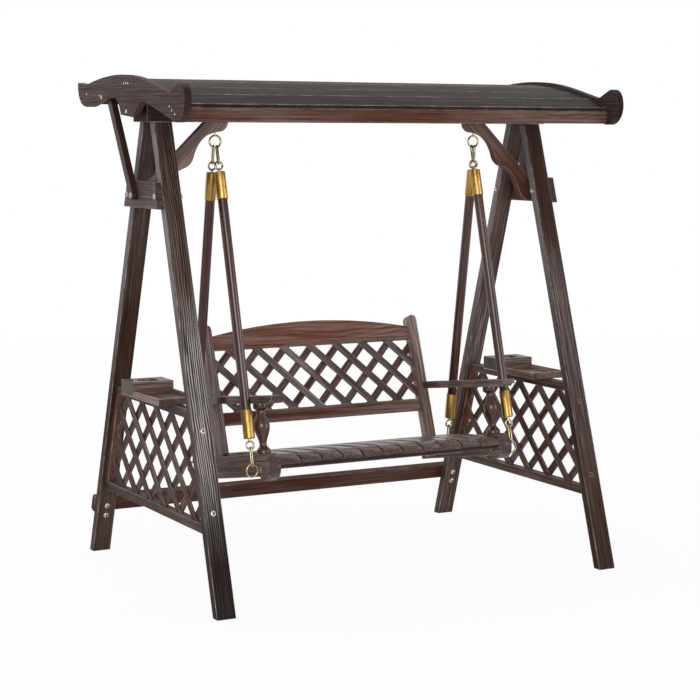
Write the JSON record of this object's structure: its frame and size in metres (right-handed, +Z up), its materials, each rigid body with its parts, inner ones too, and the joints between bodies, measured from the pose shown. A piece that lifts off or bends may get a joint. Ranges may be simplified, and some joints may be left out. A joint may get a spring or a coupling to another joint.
{
  "type": "garden swing seat",
  "caption": "Wooden garden swing: slatted bench with lattice back hung on poles from a beam on splayed legs, under a horned board roof, with lattice sides and cup trays.",
  "frame": {"origin": "on the floor, under the middle of the top beam", "axes": "+X along the beam to the sitter's left, +Y to the rear, +Z up"},
  "size_m": [1.892, 1.276, 1.9401],
  "materials": {
    "dark_stained_wood": "satin stain over open grain",
    "red_stained_wood": "satin stain",
    "weathered_wood": "matt, greyed",
    "brass": "polished tube",
    "plated_steel": "dull zinc plate"
  },
  "bodies": {
    "stand": {"collar_board_l": "dark_stained_wood", "collar_board_r": "dark_stained_wood", "cup_block_l": "dark_stained_wood", "cup_block_r": "dark_stained_wood", "fascia_front": "red_stained_wood", "fascia_rear": "red_stained_wood", "gable_board_l": "weathered_wood", "gable_board_r": "weathered_wood", "hanger_eye_l": "plated_steel", "hanger_eye_r": "plated_steel", "knee_bracket_l": "dark_stained_wood", "knee_bracket_r": "dark_stained_wood", "leg_front_l": "dark_stained_wood", "leg_front_r": "dark_stained_wood", "leg_rear_l": "dark_stained_wood", "leg_rear_r": "dark_stained_wood", "panel_bars_far_l": "dark_stained_wood", "panel_bars_far_r": "dark_stained_wood", "panel_bars_near_l": "dark_stained_wood", "panel_bars_near_r": "dark_stained_wood", "panel_low_rail_l": "dark_stained_wood", "panel_low_rail_r": "dark_stained_wood", "panel_stiles_l": "red_stained_wood", "panel_stiles_r": "red_stained_wood", "panel_top_rail_l": "dark_stained_wood", "panel_top_rail_r": "dark_stained_wood", "rear_stretcher": "red_stained_wood", "roof_boards": "weathered_wood", "roof_spacers": "plated_steel", "roof_stay_l": "dark_stained_wood", "roof_stay_r": "dark_stained_wood", "side_tray_l": "dark_stained_wood", "side_tray_r": "dark_stained_wood", "top_beam": "dark_stained_wood"},
    "bench": {"arm_l": "dark_stained_wood", "arm_r": "dark_stained_wood", "back_bars_front": "dark_stained_wood", "back_bars_rear": "dark_stained_wood", "back_low_rail": "red_stained_wood", "back_post_l": "dark_stained_wood", "back_post_r": "dark_stained_wood", "back_top_rail": "red_stained_wood", "baluster_l": "dark_stained_wood", "baluster_r": "dark_stained_wood", "pole_eyes": "plated_steel", "pole_ferrules": "brass", "pole_front_l": "dark_stained_wood", "pole_front_r": "dark_stained_wood", "pole_links_low": "plated_steel", "pole_links_top": "plated_steel", "pole_rear_l": "dark_stained_wood", "pole_rear_r": "dark_stained_wood", "seat_battens": "dark_stained_wood", "seat_cross_rails": "dark_stained_wood", "seat_eyes": "plated_steel", "seat_rail_l": "dark_stained_wood", "seat_rail_r": "dark_stained_wood", "seat_slats": "dark_stained_wood"}
  },
  "joints": [
    {"name": "swing", "type": "hinge", "parent": "stand", "child": "bench", "pos_m": [0, 0, 1.66557], "axis": [1, 0, 0], "range_deg": [-22, 22]}
  ]
}
